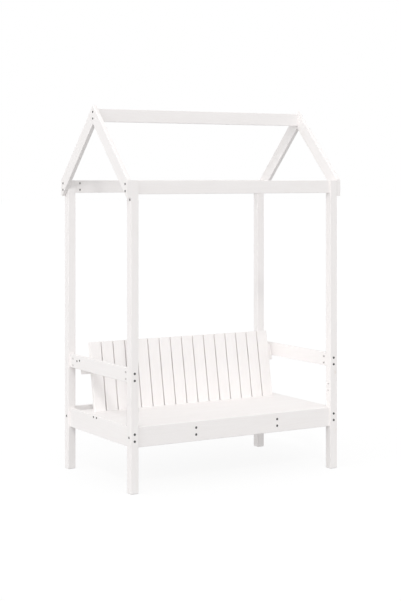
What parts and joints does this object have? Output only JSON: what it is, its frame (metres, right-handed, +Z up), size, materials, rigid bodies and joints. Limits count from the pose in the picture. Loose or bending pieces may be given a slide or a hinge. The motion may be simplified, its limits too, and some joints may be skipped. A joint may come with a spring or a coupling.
{
  "type": "roofed garden bench",
  "caption": "Child's garden bench in white-painted pine, with a slatted leaning back, board arms and an open gable roof frame on square posts.",
  "frame": {"origin": "on the ground, under the middle of the bench", "axes": "+Z up, the open front of the seat faces -Y, +X to the right seen from the front"},
  "size_m": [1.09, 0.62, 1.616],
  "materials": {
    "painted_pine": "thin white paint over pine, satin",
    "bolt_steel": "dark zinc plating",
    "zinc": "bright zinc plating"
  },
  "bodies": {
    "root": {"apron_bolts": "bolt_steel", "apron_front": "painted_pine", "apron_rear": "painted_pine", "arm_barrel_nuts": "zinc", "arm_bolts": "bolt_steel", "arm_left": "painted_pine", "arm_right": "painted_pine", "back_batten_lower": "painted_pine", "back_rail_screws": "zinc", "back_rail_upper": "painted_pine", "back_slat_01": "painted_pine", "back_slat_02": "painted_pine", "back_slat_03": "painted_pine", "back_slat_04": "painted_pine", "back_slat_05": "painted_pine", "back_slat_06": "painted_pine", "back_slat_07": "painted_pine", "back_slat_08": "painted_pine", "back_slat_09": "painted_pine", "back_slat_10": "painted_pine", "back_slat_11": "painted_pine", "back_slat_12": "painted_pine", "back_slat_13": "painted_pine", "back_slat_14": "painted_pine", "back_slat_15": "painted_pine", "back_slat_16": "painted_pine", "batten_screws": "zinc", "bearer_bolts": "bolt_steel", "eave_beam_bolts": "bolt_steel", "eave_beam_front": "painted_pine", "eave_beam_rear": "painted_pine", "front_post_screws": "bolt_steel", "post_front_left": "painted_pine", "post_front_right": "painted_pine", "post_rear_left": "painted_pine", "post_rear_right": "painted_pine", "rafter_front_left": "painted_pine", "rafter_front_right": "painted_pine", "rafter_rear_left": "painted_pine", "rafter_rear_right": "painted_pine", "ridge_beam": "painted_pine", "ridge_bolts": "bolt_steel", "roof_barrel_nuts": "zinc", "seat_barrel_nuts": "zinc", "seat_bearer_left": "painted_pine", "seat_bearer_right": "painted_pine", "seat_end_screws": "zinc", "seat_plank_1": "painted_pine", "seat_plank_2": "painted_pine", "seat_plank_3": "painted_pine", "seat_plank_4": "painted_pine", "seat_plank_screws": "zinc", "side_rail_bolts": "bolt_steel", "side_rail_left": "painted_pine", "side_rail_right": "painted_pine", "slat_screws_lower": "zinc", "slat_screws_upper": "zinc"}
  },
  "joints": []
}
